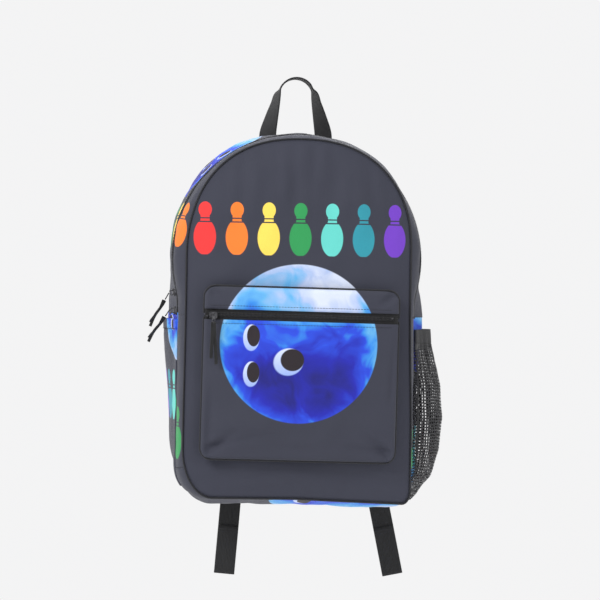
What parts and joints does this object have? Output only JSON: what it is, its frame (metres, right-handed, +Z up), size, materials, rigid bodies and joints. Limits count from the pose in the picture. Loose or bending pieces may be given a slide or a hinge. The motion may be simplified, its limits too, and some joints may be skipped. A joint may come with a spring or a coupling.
{
  "type": "day backpack",
  "caption": "Soft day backpack with a printed ball motif, zipped arch front, zipped front pocket, fabric and mesh side pockets, grab loop and padded shoulder straps.",
  "frame": {"origin": "the point inside the top of the grab loop that rests on a hook", "axes": "+Z up, the bag's front faces -Y, +X to the viewer's right"},
  "size_m": [0.3524, 0.196, 0.602],
  "materials": {
    "shell": "printed polyester, plain weave",
    "lining": "matt polyester lining",
    "binding": "woven binding",
    "zip_tape": "woven zip tape",
    "zip_coil": "nylon coil",
    "zip_metal": "dark nickel",
    "ribbon": "narrow woven ribbon",
    "mesh": "open knitted mesh",
    "elastic": "woven elastic",
    "air_mesh": "spacer mesh",
    "padding": "padded fabric",
    "webbing": "ribbed webbing",
    "buckle": "moulded plastic"
  },
  "bodies": {
    "root": {"back_panel": "lining", "back_piping": "binding", "rear_gusset_left": "shell", "rear_gusset_right": "shell", "side_panel_left": "shell", "side_panel_right": "shell", "bottom_panel": "shell", "front_panel_lower": "shell", "front_piping_lower": "binding", "main_zip_tape_rear": "zip_tape", "main_zip_coil_rear": "zip_coil", "main_zip_leg_left": "zip_tape", "main_zip_leg_right": "zip_tape", "main_zip_stops": "zip_metal", "pocket_gusset": "shell", "pocket_top_panel": "shell", "pocket_zip_tape_upper": "zip_tape", "pocket_zip_coil_upper": "zip_coil", "side_pocket": "shell", "side_pocket_hem": "shell", "mesh_pocket": "mesh", "mesh_pocket_elastic": "elastic", "laptop_sleeve": "lining", "laptop_sleeve_binding": "binding", "back_pad": "air_mesh", "yoke_panel": "padding", "lower_webbing_left": "webbing", "lower_webbing_right": "webbing", "webbing_anchor_left": "webbing", "webbing_anchor_right": "webbing", "grab_loop": "webbing"},
    "front_flap": {"front_panel_upper": "shell", "front_gusset_left": "shell", "front_gusset_right": "shell", "front_piping_upper": "binding", "main_zip_tape_front": "zip_tape", "main_zip_coil_front": "zip_coil"},
    "pocket_front": {"pocket_front_panel": "shell", "pocket_zip_tape_lower": "zip_tape", "pocket_zip_coil_lower": "zip_coil", "pocket_zip_stops": "zip_metal"},
    "main_slider_upper": {"main_slider_upper": "zip_metal"},
    "main_pull_upper": {"main_pull_upper": "zip_metal", "main_ribbon_upper": "ribbon"},
    "main_slider_lower": {"main_slider_lower": "zip_metal"},
    "main_pull_lower": {"main_pull_lower": "zip_metal", "main_ribbon_lower": "ribbon"},
    "pocket_slider": {"pocket_slider": "zip_metal"},
    "pocket_pull": {"pocket_pull": "zip_metal", "pocket_ribbon": "ribbon"},
    "strap_left": {"shoulder_strap_left": "padding", "lock_webbing_left": "webbing", "ladder_lock_left": "buckle", "strap_tail_left": "webbing"},
    "strap_right": {"shoulder_strap_right": "padding", "lock_webbing_right": "webbing", "ladder_lock_right": "buckle", "strap_tail_right": "webbing"}
  },
  "joints": [
    {"name": "flap_open", "type": "hinge", "parent": "root", "child": "front_flap", "pos_m": [0, -0.121, -0.232], "axis": [1, 0, 0], "range_deg": [0, 85]},
    {"name": "upper_slider_travel", "type": "hinge", "parent": "root", "child": "main_slider_upper", "pos_m": [0, -0.089, -0.218], "axis": [0, 1, 0], "range_deg": [0, 212]},
    {"name": "upper_pull_swing", "type": "hinge", "parent": "main_slider_upper", "child": "main_pull_upper", "pos_m": [-0.14948, -0.089, -0.26086], "axis": [0, 1, 0], "range_deg": [0, 90]},
    {"name": "lower_slider_travel", "type": "slide", "parent": "root", "child": "main_slider_lower", "axis": [0, 0, 1], "range_m": [0, 0.003]},
    {"name": "lower_pull_swing", "type": "hinge", "parent": "main_slider_lower", "child": "main_pull_lower", "pos_m": [-0.1485, -0.089, -0.28047], "axis": [0, 1, 0], "range_deg": [0, 90]},
    {"name": "pocket_open", "type": "hinge", "parent": "root", "child": "pocket_front", "pos_m": [0, -0.1397, -0.452], "axis": [1, 0, 0], "range_deg": [0, 18]},
    {"name": "pocket_slider_travel", "type": "slide", "parent": "pocket_front", "child": "pocket_slider", "axis": [1, 0, 0], "range_m": [0, 0.2]},
    {"name": "pocket_pull_swing", "type": "hinge", "parent": "pocket_slider", "child": "pocket_pull", "pos_m": [-0.1, -0.148, -0.285], "axis": [-1, 0, 0], "range_deg": [0, 80]},
    {"name": "left_strap_swing", "type": "hinge", "parent": "root", "child": "strap_left", "pos_m": [0, 0.036, -0.127], "axis": [1, 0, 0], "range_deg": [0, 20]},
    {"name": "right_strap_swing", "type": "hinge", "parent": "root", "child": "strap_right", "pos_m": [0, 0.036, -0.127], "axis": [1, 0, 0], "range_deg": [0, 20]}
  ]
}
